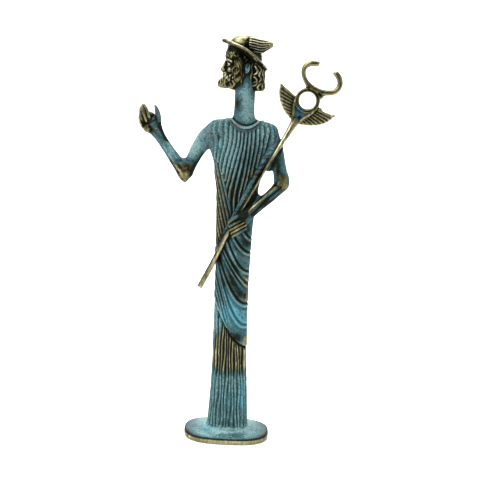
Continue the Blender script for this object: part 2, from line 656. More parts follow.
def lock(clay, still, centre, start, end, half, wave, bare, sink=-0.1):
    """A wavy lock of hair on the surface, from one [turn, height] to another."""
    share = np.linspace(0, 1, 9)
    swing, count, phase = wave
    turns = start[0] + (end[0] - start[0]) * share + swing * np.sin(2 * math.pi * (count * share + phase))
    places = skin(still, clay.axes, centre, turns, start[1] + (end[1] - start[1]) * share)
    inwards = np.array([centre, 0, 0]) - places
    inwards[:, 2] = 0
    inwards /= np.linalg.norm(inwards, axis=1)[:, None]
    places += inwards * half * sink
    halves = half * (0.75 + 0.35 * np.sin(math.pi * share)) * np.where(share > 0.99, 0.7, 1)
    limb(clay, [[*place, h, h] for place, h in zip(places, halves)], 0.12, bare, step=1.1)


def add_hair(clay):
    still = clay.distance.copy()
    # The beard: long wavy locks with pale tips, and shorter ones between them at its hanging edge
    for i in range(-7, 8):
        turn = 15.5 * i
        top = 241 - 0.8 * (i % 2) if abs(i) > 1 else 237.8
        lock(clay, still, -8.6, (turn, top), (turn + 4, 232.6), 0.6, (4.5, 1.4, 0.2 * i), 0.5)
        lock(clay, still, -8.6, (turn, top), (turn + 1, top - 1.6), 0.66, (1, 1, 0), 0.95, -0.2)
        lock(clay, still, -8.6, (turn + 8, 236), (turn + 11, 232.4), 0.5, (3, 0.7, 0.15 * i), 0.36, 0)
    # Whiskers and temples: they run down and forwards, before the ear
    for side in (-1, 1):
        for i in range(7):
            top = (side * (66 + 7 * i), 253.6 - 0.4 * i)
            foot = (side * (42 + 7.6 * i), 238.6 - 0.7 * i)
            lock(clay, still, -1, top, foot, 0.46, (4.2, 3, 0.23 * i), 0.42)
        for i in range(3):
            top, foot = (side * (80 + 6 * i), 241), (side * (56 + 7 * i), 235 + 0.9 * i)
            lock(clay, still, -1, top, foot, 0.46, (3, 1.6, 0.3 * i), 0.38)
    # The fringe's curls, in two rows
    for i in range(-12, 13):
        top, foot = 256.4 - abs(i) * 0.1, 251.8 + i % 2 - abs(i) * 0.12
        lock(clay, still, -3.4, (9 * i, top), (9 * i + 7, foot), 0.5, (6, 1.2, 0.3 * i), 0.3, 0)
    # The locks down the back of the head, in two layers
    for i in range(-6, 7):
        turn = 180 + 9.4 * i
        lock(clay, still, 1, (turn, 249.5), (turn + 2, 236.4), 0.6, (3.2, 2.3, 0.13 * i), 0.58)
        lock(clay, still, 1, (turn + 4, 237.8), (turn + 2, 231.8), 0.62, (3, 1.1, 0.2 * i), 0.26)


def add_ear(clay, side):
    blob(clay, (2.6, side * 7.6, 245.5), (1.5, 1.2, 2.6), 0.4)
    helix = [(1.7, 246.6), (2.3, 248.2), (3.5, 248.4), (4, 246.8), (3.4, 244.6), (2.2, 242.9), (1.6, 243.2)]
    limb(clay, [[x, side * 8.5, z, 0.42, 0.5] for x, z in helix], 0.25, step=0.8)
    clay.cut((0.5, -10, 243), (5, 10, 249), ellipsoid((2.6, side * 9.1, 246), (0.7, 1.3, 1.5)), 0.4)
    blob(clay, (1.7, side * 8.4, 245.2), (0.5, 0.5, 0.7), 0.3)


def add_face(clay):
    for side in (-1, 1):
        # The socket, the eyeball and its lids
        clay.cut((-14, -8, 244), (-4, 8, 252), ellipsoid((-10.4, side * 3.5, 247.8), (2.2, 2, 1.6)), 1.2)
        blob(clay, (-8.4, side * 3.5, 247.7), (1.7, 1.75, 1.5), 0.2, 0.6)
        for rise, out in ((0.95, 0.25), (-0.95, 0)):
            lid = [(-9.2, 1.7, 247.5, 0.34), (-10, 2.6, 247.7 + rise, 0.38)]
            lid += [(-9.9, 4, 247.7 + rise, 0.38), (-8.6, 5.3, 247.5, 0.34)]
            limb(clay, [[x - out, side * y, z, half, half] for x, y, z, half in lid], 0.2, 0.6, step=0.7)
        limb(clay, [
            [-10.8, side, 249.9, 0.6, 0.7], [-10.8, side * 2.6, 250.7, 0.7, 0.8],
            [-9.7, side * 4.6, 250.7, 0.7, 0.8], [-7.6, side * 6, 249.4, 0.5, 0.6],
        ], 0.6, 0.62, step=1)
        blob(clay, (-12.1, side * 1.2, 243.7), (1.15, 0.75, 0.85), 0.3, 0.6)
        blob(clay, (-7.6, side * 5, 244.2), (2.6, 1.6, 1.9), 1, 0.45)
        # The moustache
        limb(clay, [
            [-12.4, side * 0.4, 242.2, 0.7, 0.8], [-12, side * 2.2, 241.8, 0.95, 1],
            [-10.2, side * 4.3, 240.4, 0.95, 1], [-8.2, side * 5.9, 238.2, 0.6, 0.7],
        ], 0.3, 0.55, step=0.9)
        limb(clay, [
            [-11.8, side * 1.6, 242.5, 0.5, 0.5], [-10.6, side * 3.6, 241.8, 0.6, 0.6],
            [-8.6, side * 5.4, 239.9, 0.45, 0.45],
        ], 0.2, 0.6, step=0.9)
    # The nose and the lips
    nose = [[-9.4, 0, 250.2, 1.6, 1], [-11.2, 0, 246.8, 1.9, 1.1], [-11.9, 0, 243.9, 2.1, 1.4]]
    bridge = [[-10.2, 0, 250.4, 1.3, 1.1], [-12.1, 0, 247, 1.15, 1], [-13.4, 0, 244.5, 1.2, 1.25]]
    limb(clay, nose, 0.8, 0.8)
    limb(clay, bridge, 0.6, 0.8)
    blob(clay, (-13.6, 0, 244), (1.1, 1.2, 1.05), 0.4, 0.75)
    for z, half in ((240.7, 0.5), (239.7, 0.6)):
        lip = [[x, y, z, half, half] for x, y in ((-11.2, -2), (-12.5, 0), (-11.2, 2))]
        limb(clay, lip, 0.2, 0.5, step=0.8)


def add_head(clay):
    add_upright(clay, NECK, 1.6)
    add_upright(clay, SKULL, 1.2, 0.62)
    for rows, bare in ((BEARD, 0.4), (WHISKERS, 0.3), (BACK_LOCKS, 0.35), (FRINGE, 0.3)):
        add_upright(clay, rows, 0.6, bare)
    add_face(clay)
    add_hair(clay)
    for side in (-1, 1):
        add_ear(clay, side)


# The hat's brim: its middle is given as x and height
HAT_TILT = math.radians(31)
BRIM_MIDDLE = (0.9, 253.8)
BRIM_LENGTH = 35.2
BRIM_BREADTH = 22.8
BRIM_THICKNESS = 1.9
BRIM_CURL = 3.6


def on_brim(x, y, z):
    """Along the brim and across it, as shares of its half sizes, and how far above its curled middle."""
    c, s = math.cos(HAT_TILT), math.sin(HAT_TILT)
    right, up = x - BRIM_MIDDLE[0], z - BRIM_MIDDLE[1]
    u, v = 2 * (right * c - up * s) / BRIM_LENGTH, 2 * y / BRIM_BREADTH
    above = (right * s + up * c - BRIM_CURL * v * v) / np.sqrt(1 + (4 * BRIM_CURL * v / BRIM_BREADTH) ** 2)
    return u, v, above


def add_hat(clay):
    edge = BRIM_THICKNESS / 2

    def brim(x, y, z):
        u, v, above = on_brim(x, y, z)
        out = oval_distance((u, v), (BRIM_LENGTH / 2, BRIM_BREADTH / 2)) + edge
        rolled = 0.6 * ramp(-0.55, -0.95, u) + 0.2 * ramp(-1.4, -0.4, out)
        return np.sqrt(np.maximum(out, 0) ** 2 + above * above) - edge * 0.6 - rolled

    clay.join((-16.5, -12, 243), (17.5, 12, 265.6), brim, 0.5, 0.72)
    add_upright(clay, CROWN, 0.8, 0.85)

    def lines(x, y, z):
        """Lines round the back of the crown, below the wings."""
        return 0.5 * waves(z + 0.75 * x, 1.9, 1.5) * ramp(5, 7, x) * ramp(258, 256, z)

    clay.engrave((4.5, -9, 247), (12, 9, 259), lines)
    for side in (-1, 1):
        add_hat_wing(clay, side)


# A hat's wing: x, the height of its middle, its half height and how far out it stands
HAT_WING = [
    [2.6, 260.8, 4.2, 5.6], [6, 260.4, 5.1, 5.4], [11, 259.6, 4.8, 4.8], [15, 260.2, 3.2, 4.2],
    [18.6, 261.2, 1.4, 3.8],
]


def add_hat_wing(clay, side):
    at = through(HAT_WING)
    front, back = HAT_WING[0][0], HAT_WING[-1][0]

    def shape(x, y, z):
        middle, half, out = np.moveaxis(at(np.clip(x, front, back)), -1, 0)
        share = (z - middle) / half
        sway = 0.16 * np.sin((x - 1) / 4.5) * (share + 0.4)
        feather = np.abs(np.cos(math.pi * (share + sway + 1) * 2.75)) ** 2
        thick = 2.5 * (1 - 0.45 * np.clip(share, -1, 1) ** 2) - 1.15 * feather
        edge = np.maximum((np.abs(share) - 1) * half, np.maximum(front - x, x - back))
        return np.maximum(np.abs(side * y - out) - thick, edge + 0.2)

    low_y, high_y = sorted((side * 2, side * 8.4))
    clay.join((2, low_y, 254), (19, high_y, 266), shape, 0.3, 0.85)


# The staff, as stations of x, y, height, half width and half depth
STAFF_PATH = [
    [-22.1, -4.2, 101.4, 1.9, 1.9], [-16.7, -4.4, 112.6, 1.9, 1.9], [-11.1, -5.6, 125, 1.75, 2.4],
    [-4.8, -7.4, 140, 1.5, 2.3], [4.6, -7, 157, 0.95, 2.2], [12.8, -5.6, 173.2, 0.85, 2.6],
    [20.8, -4.8, 188.6, 1.15, 2.3], [30, -3.4, 204.8, 2, 1.9], [35.2, -2.8, 214.4, 2.85, 1.9],
]
STAFF_HEAD = (41.9, -2.6, 227.2)
HEAD_LEAN = math.radians(62)
LEAN_COSINE, LEAN_SINE = math.cos(HEAD_LEAN), math.sin(HEAD_LEAN)
RING_BORE, RING_WALL, RING_THICKNESS = 10.6, 2.9, 4
# The plate under the ring: how far along the head, and its half width there
PLATE_EDGE = [[-18, 2], [-13.6, 3.6], [-9.2, 5.6], [-4, 7.2], [4, 7.2]]
# A wing's fan: how far round it, and where its feathers start and end, along the head and out from it
WING_ROOTS = [[0, -15.6, 1.4], [0.35, -10.6, 3.6], [0.7, -5.4, 6], [1, -1.6, 7]]
WING_TIPS = [[0, -15.6, 4.2], [0.25, -13, 10.2], [0.5, -9.2, 15.4], [0.75, -4.5, 19], [1, 1, 20.9]]
WING_FEATHERS = 9
# The crescent: along the head, to the right of it and half width
CRESCENT = [
    [23, -6.6, 2], [21.8, -9.4, 2.1], [19.2, -11.8, 1.9], [16, -12.3, 1.7], [13.2, -11, 1.6],
    [10.4, -8, 1.6], [8.8, -4.4, 1.9], [8.5, 0.6, 2], [9.2, 5.4, 2], [11.3, 9.6, 1.9], [13.8, 12.2, 1.9],
    [16.8, 13, 1.9], [19.8, 12.2, 1.9], [22.4, 9.8, 2], [23.8, 6.4, 2],
]


def head_frame(x, y, z):
    """Along the staff's head, to the right of it and in front of it."""
    dx, dz = x - STAFF_HEAD[0], z - STAFF_HEAD[2]
    along, right = dx * LEAN_COSINE + dz * LEAN_SINE, dx * LEAN_SINE - dz * LEAN_COSINE
    return along, right, STAFF_HEAD[1] - y


def on_head(along, right, front=0):
    """The x, y and height of a place that head_frame would give back."""
    x, y, z = STAFF_HEAD
    x += along * LEAN_COSINE
    z += along * LEAN_SINE
    return x + right * LEAN_SINE, y - front, z - right * LEAN_COSINE


def add_staff(clay):
    limb(clay, STAFF_PATH, 0.3, 0.72, end=0.6)
    plate_edge = through(PLATE_EDGE)
    foot, top = PLATE_EDGE[0][0], PLATE_EDGE[-1][0]

    def plate(x, y, z):
        """It reaches from its foot to the ring's middle, where the bore cuts it."""
        along, right, front = head_frame(x, y, z)
        half = plate_edge(np.clip(along, foot, top))[..., 0]
        out = np.maximum(np.abs(right) - half, np.maximum(foot - along, along))
        return rounded(out * 0.93, np.abs(front) - 0.9 - 0.7 * ramp(-1.9, -1.1, out), 0.5)

    clay.join((26, -5.5, 208), (56, 0.5, 238), plate, 0.3, 0.5)
    for side in (-1, 1):
        add_staff_wing(clay, side)

    def bore(x, y, z):
        along, right, _ = head_frame(x, y, z)
        return np.hypot(along, right) - RING_BORE / 2 - 1

    clay.cut((34, -9, 219), (50, 4, 235.5), bore, 0.3)

    def ring(x, y, z):
        along, right, front = head_frame(x, y, z)
        away = np.hypot(along, right) - (RING_BORE + RING_WALL) / 2
        lips = 0.4 * bump(away / 0.55)
        return rounded(np.abs(away) - RING_WALL / 2, np.abs(front) - RING_THICKNESS / 2 + 0.2 + lips, 0.6)

    clay.join((32, -5.5, 217), (52, 0.5, 237.5), ring, 0.4, 0.78)
    limb(clay, [[*on_head(a, r), half, half] for a, r, half in CRESCENT], 0.6, 0.85, step=1.2, end=0.8)
    # The metal that fills the corners where the crescent and the right wing leave the ring
    for x, z, wide, tall in ((50.3, 230.8, 1.9, 2.4), (41.3, 236.6, 1.1, 1.4), (50.3, 221.8, 1.4, 1.5)):
        blob(clay, (x, STAFF_HEAD[1], z), (wide, 1.4, tall), 1, 0.8)


def add_staff_wing(clay, side):
    """A fan of feathers between two curves, of their roots and of their tips."""
    root, tip = through(WING_ROOTS), through(WING_TIPS)
    turns = np.linspace(0, 1, 49)
    roots, tips = root(turns), tip(turns)
    ways = tips - roots
    ways = ways / np.linalg.norm(ways, axis=1)[:, None]

    def shape(x, y, z):
        along, right, _ = head_frame(x[:, 0], STAFF_HEAD[1], z[0])
        out = side * right
        # Which feather line passes through each place: where the cross product changes sign
        off = np.stack([(along - r[0]) * w[1] - (out - r[1]) * w[0] for r, w in zip(roots, ways)])
        sign = 1 if off[0].mean() > off[-1].mean() else -1
        i = np.clip((sign * off > 0).sum(axis=0), 1, len(turns) - 1) - 1
        a, b = (np.take_along_axis(off, at[None], 0)[0] for at in (i, i + 1))
        share = np.clip(a / np.where(np.abs(a - b) < 1e-6, 1, a - b), 0, 1)
        t = (i + share) / (len(turns) - 1)
        base, way = root(t), tip(t) - root(t)
        length = np.linalg.norm(way, axis=-1)
        u = ((along - base[..., 0]) * way[..., 0] + (out - base[..., 1]) * way[..., 1]) / length
        beyond = np.maximum(-sign * off[0], sign * off[-1])
        groove = np.abs(np.cos(math.pi * t * WING_FEATHERS)) ** 2.5
        edge = np.maximum(np.maximum(u - length * (1 - 0.04 * groove), -u - 0.6), beyond)
        thick = 1.4 - 0.35 * np.clip(u / length, 0, 1) - 0.45 * groove
        return rounded(edge[:, None, :], np.abs(STAFF_HEAD[1] - y) - thick[:, None, :], 0.4)

    corners = np.array([on_head(*place) for place in np.concatenate([roots, tips]) * [1, side]])
    low, high = corners.min(axis=0) - 0.3, corners.max(axis=0) + 0.3
    low[1], high[1] = -4.6, -0.6
    clay.join(low, high, shape, 0.4, 0.95)
    blob(clay, on_head(0.3, side * 19.8), (1, 0.9, 1), 0.6, 0.9)
    for front in (-1.3, 1.3):
        arc = [[*on_head(row[0], side * (row[1] + 0.5), front), 0.55, 0.6] for row in roots[4:40:5]]
        limb(clay, arc, 0.2, 0.95, step=1)


ROUGHNESS = 0.025  # of the cast skin, in millimetres
GROOVE_REACH = 1.5  # distances are clipped to this many millimetres before they are blurred
GROOVE_BLUR, HOLLOW_BLUR = 2, 5  # rounds of blurring, for narrow grooves and for wider hollows


def roughen(clay):
    """The casting's uneven skin, which also keeps the flat places finely meshed."""
    x, y, z = (np.sin(1.9 * lines + 2.1 * np.sin(0.43 * lines)) for lines in clay.axes)
    swell = x[:, None, None] * z[None, None, :] + y[None, :, None] * np.sin(1.3 * clay.axes[2])[None, None, :]
    clay.distance += (ROUGHNESS * (2 + swell)).astype(np.float32)


def surface(clay):
    """The grid's surface as points and quads: one point in each cell that it crosses."""
    d = clay.distance
    inside = d < 0
    stride = np.array([d.shape[1] * d.shape[2], d.shape[2], 1])
    cells, sums, quads = [], [], []
    for axis in range(3):
        ahead, behind = [slice(None)] * 3, [slice(None)] * 3
        ahead[axis], behind[axis] = slice(1, None), slice(None, -1)
        crossed = np.argwhere(inside[tuple(ahead)] != inside[tuple(behind)])
        others = [k for k in range(3) if k != axis]
        crossed = crossed[(crossed[:, others] > 0).all(axis=1)]
        nexts = crossed.copy()
        nexts[:, axis] += 1
        start, end = d[tuple(crossed.T)], d[tuple(nexts.T)]
        points = np.stack([clay.axes[k][crossed[:, k]] for k in range(3)], axis=1).astype(float)
        lines = clay.axes[axis]
        points[:, axis] += start / (start - end) * (lines[nexts[:, axis]] - lines[crossed[:, axis]])
        at = crossed @ stride
        b, c = stride[others]
        loop = np.stack([at, at - b, at - b - c, at - c], axis=1)
        turned = (start < 0) ^ (axis == 1)
        loop[~turned] = loop[~turned][:, ::-1]
        quads.append(loop)
        cells.extend(loop.T)
        sums.extend([points] * 4)
    cells, points = np.concatenate(cells), np.concatenate(sums)
    unique, inverse = np.unique(cells, return_inverse=True)
    count = np.bincount(inverse)
    middle = np.stack([np.bincount(inverse, weights=points[:, k]) / count for k in range(3)], axis=1)
    return middle, np.searchsorted(unique, np.concatenate(quads))


def blurred(field, times):
    for _ in range(times):
        for axis in range(3):
            part = np.moveaxis(field, axis, 0)
            mean = part.copy()
            mean[1:-1] = 0.25 * part[:-2] + 0.5 * part[1:-1] + 0.25 * part[2:]
            field = np.moveaxis(mean, 0, axis)
    return field


def sample(clay, field, points):
    """A field's values at points, between the grid's lines."""
    index, share = [], []
    for k, axis in enumerate(clay.axes):
        i = np.clip(np.searchsorted(axis, points[:, k]) - 1, 0, len(axis) - 2)
        index.append(i)
        share.append((points[:, k] - axis[i]) / (axis[i + 1] - axis[i]))
    total = 0
    for corner in range(8):
        bits = [(corner >> k) & 1 for k in range(3)]
        weight = np.prod([s if bit else 1 - s for s, bit in zip(share, bits)], axis=0)
        total = total + weight * field[tuple(i + bit for i, bit in zip(index, bits))]
    return total


def make_mesh(points, quads):
    mesh = bpy.data.meshes.new("bronze_figure")
    mesh.vertices.add(len(points))
    mesh.vertices.foreach_set("co", ((points + [0, 0, RIM_HEIGHT]) * MM).astype(np.float32).ravel())
    mesh.loops.add(quads.size)
    mesh.loops.foreach_set("vertex_index", quads.ravel().astype(np.int32))
    mesh.polygons.add(len(quads))
    mesh.polygons.foreach_set("loop_start", np.arange(0, quads.size, 4, dtype=np.int32))
    mesh.update(calc_edges=True)
    mesh.validate()
    return mesh


def thinned(mesh):
    """The mesh with fewer triangles where it is flat."""
    triangles = 2 * len(mesh.polygons)
    carrier = bpy.data.objects.new("bronze_figure", mesh)
    bpy.context.scene.collection.objects.link(carrier)
    if triangles > TRIANGLES:
        modifier = carrier.modifiers.new("thin", "DECIMATE")
        modifier.ratio = TRIANGLES / triangles
        thin = bpy.data.meshes.new_from_object(carrier.evaluated_get(bpy.context.evaluated_depsgraph_get()))
        carrier.modifiers.clear()
        carrier.data = thin
        bpy.data.meshes.remove(mesh)
    return carrier


def set_values(mesh, name, values):
    layer = mesh.attributes.new(name, "FLOAT", "POINT")
    layer.data.foreach_set("value", values.astype(np.float32))


# Where the patina differs, as soft ovals: x, height, half width, half height, and what they add to how far
# the metal is rubbed bare, to how dark it is, and to its tint (cyan above zero, mauve grey below)
PATINA = [
    # The raised arm, from its elbow
    (-36.2, 179.2, 6.8, 6, 0.85, 0.1), (-32.6, 185.2, 4, 1.6, -0.3, 0.7, -0.3),
    (-39.5, 184.8, 3, 1.6, -0.2, 0.9), (-29, 180, 3, 6, -0.2, 1.3), (-25.5, 187.5, 2.6, 4, 0, 0.6),
    (-30, 196, 5, 8, 0, -1), (-44.5, 191, 3, 4.5, 0, -0.45, 0.45),
    # Its wrist and hand
    (-52, 199.4, 3, 3, 0, 0.5), (-58, 204.6, 3, 2.6, 0.3, -0.2), (-61.6, 212, 3.4, 5.4, 0.12, 1),
    (-59.8, 216.8, 1.6, 3.6, 0.4, 0.2), (-62.4, 209.4, 1, 3.4, -0.2, 1.3), (-65.6, 213, 0.9, 6, 0.5, -0.6),
    (-63.4, 219.6, 2.4, 1.6, 0.5, -0.4), (-55.6, 209.4, 3.4, 4.6, 0, 0.8, -0.4),
    (-54.4, 215.6, 2.2, 5.4, 0, 1, -0.7),
    # The shoulders
    (-22, 199, 6, 8, 0, -0.1, -0.5), (-14, 203, 6, 6, 0, -0.1, -0.45), (22, 203, 6, 7, 0, 0.1, -0.25),
    (-12.7, 196.6, 1.5, 1.8, 0, -0.8, 1.5), (-13.6, 201.4, 0.9, 2.6, 0, 0.9, 0.9),
    # The chest
    (-7, 192, 6, 13, 0, -0.4, 0.15), (-1, 163, 8, 15, 0.14, 1), (5.5, 182, 5, 16, 0, 0.75),
    (12, 190, 6, 12, 0, 0.65, -0.3), (12, 176, 5, 9, 0.12, 0.7, -0.3), (16, 173, 3, 9, 0, 0.6, 0.2),
    # The folds from the left armpit
    (-14, 166, 3, 16, 0.34, 1.2), (-11.5, 140, 5, 16, 0.32, 1.7),
    # The bent arm
    (25.6, 185, 2.6, 12, 0.42, 1.05), (29.4, 173.8, 3.9, 6.6, 0.85, 0.2), (21, 160, 8, 3, 0, 0.8, 0.3),
    (9, 149.5, 7, 4, 0.1, 0.6), (5.4, 141.4, 4, 2.6, -0.3, 0.9),
    # The mantle
    (6, 131, 8, 5, 0, 1, 0.2), (8, 140, 5, 6, 0, 0.5, 0.3), (2, 117, 7, 5, 0, 0.8, 0.2),
    (-9, 119, 5, 13, 0, 0.6, -0.2), (-1, 105, 5.5, 10, 0.08, 1.1, -0.2), (5, 97, 4, 5, 0.1, 1),
    (8.6, 107, 1.6, 3.6, 0.8, 0.3), (8.4, 96.4, 1.5, 3.8, 0.8, 0.3), (1, 85, 9, 8, 0, -0.35, 0.95),
    (7.5, 76, 5, 5, 0, -0.3, 0.9), (-5, 80, 3, 8, 0, -0.2, 0.35), (4, 68.4, 8, 4.8, 0, 1.05, -0.1),
    (9.6, 65.6, 1.6, 3.8, 1.2, -0.8), (-9, 98, 4, 12, 0, 0.45),
    # The robe's foot
    (0, 22, 20, 14, 0, 0.28, 0.42), (9.4, 27, 1.4, 11, 0, -0.5, 1.2),
    # The neck
    (-2.4, 223, 2.8, 5.8, 0.06, 1.25), (-1, 231.5, 4, 3, 0, -0.9, 0.5), (3.6, 225, 4.5, 10, 0, -1.1, 0.1),
    (5, 215, 4, 4, 0, -0.35), (2.6, 237, 2.4, 3.6, -1.2, -0.9, -0.1), (-1, 210.6, 4, 2, 0, 0.2, -0.6),
    # The hat
    (-3, 263.4, 5, 2.2, 0.55, -0.5), (1.6, 259, 2.6, 2.6, 0, 0.6), (12, 253.6, 4, 3.6, -0.6, 0.8, 0.5),
    (3.2, 248.6, 1.6, 1.2, 0, 1.2),
    # The ear
    (2.4, 244.9, 1.4, 2, -1.2, -1.6, 0.3),
    # The hair and face
    (-1, 244, 5, 10, 0.2, 1.6), (-9.5, 247, 4, 6, 0.4, 0.9), (8, 246, 3, 8, 0.15, 0.8),
    (10, 238, 6, 9, 0.42, 1.8), (-6, 254.4, 8, 3.4, 0.2, 1.3), (-9, 236, 7, 4.6, 0.12, 1.9),
    # The staff's plate and ring
    (37.2, 216.4, 1.5, 1.3, -0.8, 1.5, 1.3), (37, 221, 4, 4.4, -0.6, 0.65, 0.9), (42, 227, 8, 8, 0, 0.6),
    (48, 240, 16, 12, 0, 0.3),
]
# The same along lines: x and height of both ends, half width, and the three amounts
PATINA_LINES = [
    # The raised elbow's ridge, and dark strips beside it
    (-42, 184, -34.4, 172.6, 0.6, 0.25, -0.3), (-45, 184.6, -36, 171.4, 0.9, -0.3, 1.2),
    (-51, 195, -43, 183, 0.5, 0, 0.8),
    # The hand's heel, and its wrist's dark edge
    (-61.4, 207.4, -55.4, 201.8, 2.4, 0.55, 0.5), (-51.2, 207, -47.4, 198.4, 1.8, -0.2, 2.2),
    # Under the raised arm
    (-23, 189, -30.4, 175.5, 1.6, -0.2, 1.5),
    # The bent forearm's ridge, with a dark line under it
    (26.2, 173.2, 18, 165.8, 0.9, 1, -0.4), (18, 165.8, 8, 154.4, 1, 0.95, -0.3),
    (28.2, 170.6, 19.6, 163.2, 0.9, -0.2, 1.1), (19.6, 163.2, 10.4, 152.6, 1, -0.2, 1.1),
    # The bent arm's outer edge and under side
    (32.6, 180, 27.6, 199, 0.9, -0.5, -0.9, 0.3), (28.4, 167.4, 12, 151.6, 1.5, 0, 0.85, 0.1),
    # The crescent's inner edge
    (44, 240.6, 53.4, 233.6, 1.1, -0.9, -0.4, 0.2),
    # The staff's foot and its dark edge
    (-22.4, 101.4, -6, 137, 2.4, 0.25, -0.3), (-24.1, 102.2, -12.8, 125.8, 0.8, -0.9, 2.4),
    # The neck's dark edge
    (-5, 229, -5.4, 214, 0.5, 0, 1.3),
    # The staff's upper part, with a dark edge too, and where the patina covers it
    (23, 194, 35, 214, 2, 0.5, -0.3), (25.4, 193, 37.2, 211, 0.9, -0.9, 2.2),
    (20, 187, -2, 143, 1.5, -0.34, 0.5, -0.2), (24.2, 188.6, 3.4, 147.4, 0.8, -0.6, 1.6),
    (-4, 136, 6, 158, 2.2, -0.1, 0.8),
    # The band beside the staff
    (3, 160, 20, 191, 2.2, 0.1, -0.45, -0.2),
    # The mantle's edge and its pale blue panel
    (10.8, 122, 11, 90, 0.7, -0.3, 1.8), (-4.4, 102, 3, 84, 3, 0, -0.3, 0.8),
]
BAND = (43, 49.5, 61, 73)  # the heights between which the robe is rubbed bare, with their fades


def patina_zones(x, y, z):
    """What each place adds to how far the metal is rubbed bare, to how dark it is and to its tint."""
    amounts = np.zeros((3, len(x)))
    bare, dark, tint = amounts
    seen = 1 - 0.55 * ramp(-1, 3, y) * ramp(231, 227, z)  # the back has quieter patches
    for x0, z0, half_width, half_height, *more in PATINA:
        here = seen * np.exp(-(((x - x0) / half_width) ** 2) - ((z - z0) / half_height) ** 2)
        for amount, each in zip(amounts, more):
            amount += each * here
    for x0, z0, x1, z1, half, *more in PATINA_LINES:
        run, rise = x1 - x0, z1 - z0
        share = np.clip(((x - x0) * run + (z - z0) * rise) / (run * run + rise * rise), 0, 1)
        here = seen * np.exp(-((x - x0 - share * run) ** 2 + (z - z0 - share * rise) ** 2) / half**2)
        for amount, each in zip(amounts, more):
            amount += each * here
    # The collar's pale band with dark ones on both sides of it
    rise = z - neckline(x, y < 0)
    collar = (y < 0) * ramp(12, 9, np.abs(x - 3))
    below, middle, over = bump((rise + 2.7) / 1.1), bump((rise + 0.3) / 0.8), bump((rise - 1.4) / 0.6)
    dark += collar * (0.75 * below - 0.6 * middle + 1.4 * over)
    tint -= collar * 1.2 * below
    # The brim's dull lower side
    u, v, above = on_brim(x, y, z)
    lower = ramp(0.2, -0.6, above) * ramp(-2.2, -1.4, above) * ramp(0.6, 0.8, u * u + v * v)
    lower = lower * (np.abs(u) < 1.1) * (np.abs(v) < 1.1)
    bare -= 0.45 * lower
    dark += 1.7 * lower
    # The mantle's dark hem, and the robe's bare and dark band
    over_hem = falling(HEM, x, z)
    on_robe = over_hem < 0.2
    dark += 1.2 * bump(over_hem - 0.4) * ramp(-8, -4, x)
    bare -= 0.4 * bump(over_hem - 0.4)
    left = ramp(-4, -9, x)
    low, full, end_low, end_high = BAND
    band = ramp(low, full, z + 2.5 * np.sin(x * 1.3)) * ramp(end_high - 2 * left, end_low, z)
    band = np.maximum(band, ramp(low, full, z) * on_robe * (1 - left))
    bare += (0.42 + 0.2 * np.sin(1.35 * x + 0.6)) * band * on_robe
    dark += 1.15 * ramp(38, 46, z) * ramp(76, 62, z) * np.maximum(on_robe, left)
    # The base: brass round its rim, dark smudges in front, a dark margin and a paler middle
    on_base = ramp(7, 5, z)
    rim = ramp(-0.55, -1.2, z)
    bare += (0.6 + 0.6 * bump((z + 1.5) / 0.5)) * rim
    smudge = np.exp(-(((x - 7) / 9) ** 2) - ((y + 14.5) / 2.6) ** 2)
    smudge = smudge * (1.1 + 0.5 * np.sin(x * 1.9) * np.sin(y * 2.3 + x))
    dark += 0.3 * rim + on_base * (1 - rim) * smudge
    edge = ramp(0.3, -0.1, z) * ramp(-1.2, -0.7, z)
    ends = ramp(15, 26, np.abs(x))
    n = BASE_SQUARENESS
    size = (np.abs(x / BASE_HALF_WIDTH) ** n + np.abs(y / BASE_HALF_DEPTH) ** n) ** (1 / n)
    dark += on_base * ramp(0.83, 0.94, size) * (0.5 + 0.6 * ramp(0, -12, y)) * (1 - rim)
    dark += on_base * (1.9 * edge - (0.75 - 0.7 * ends) * (1 - edge))
    tint += on_base * (0.7 * np.exp(-(((x + 14) / 7) ** 2) - ((y + 9) / 6) ** 2) - 0.65 * ends)
    return amounts


def sculpt():
    clay = Clay()
    add_base(clay)
    add_body(clay)
    add_upper_arms(clay)
    carve_cloth(clay)
    add_mound(clay)
    add_forearms(clay)
    add_raised_hand(clay)
    add_head(clay)
    add_hat(clay)
    add_staff(clay)
    roughen(clay)
    figure = thinned(make_mesh(*surface(clay)))
    mesh = figure.data
    mesh.shade_smooth()
    places = np.empty(3 * len(mesh.vertices), dtype=np.float32)
    mesh.vertices.foreach_get("co", places)
    places = places.reshape(-1, 3) / MM - [0, 0, RIM_HEIGHT]
    fine = blurred(np.clip(clay.distance, -GROOVE_REACH, GROOVE_REACH), GROOVE_BLUR)
    zone_bare, dark, tint = patina_zones(*places.T)
    set_values(mesh, "groove", -sample(clay, fine, places))
    set_values(mesh, "hollow", -sample(clay, blurred(fine, HOLLOW_BLUR), places))
    set_values(mesh, "bare", sample(clay, clay.bare, places) + zone_bare)
    set_values(mesh, "dark", dark)
    set_values(mesh, "tint", tint)
    return figure


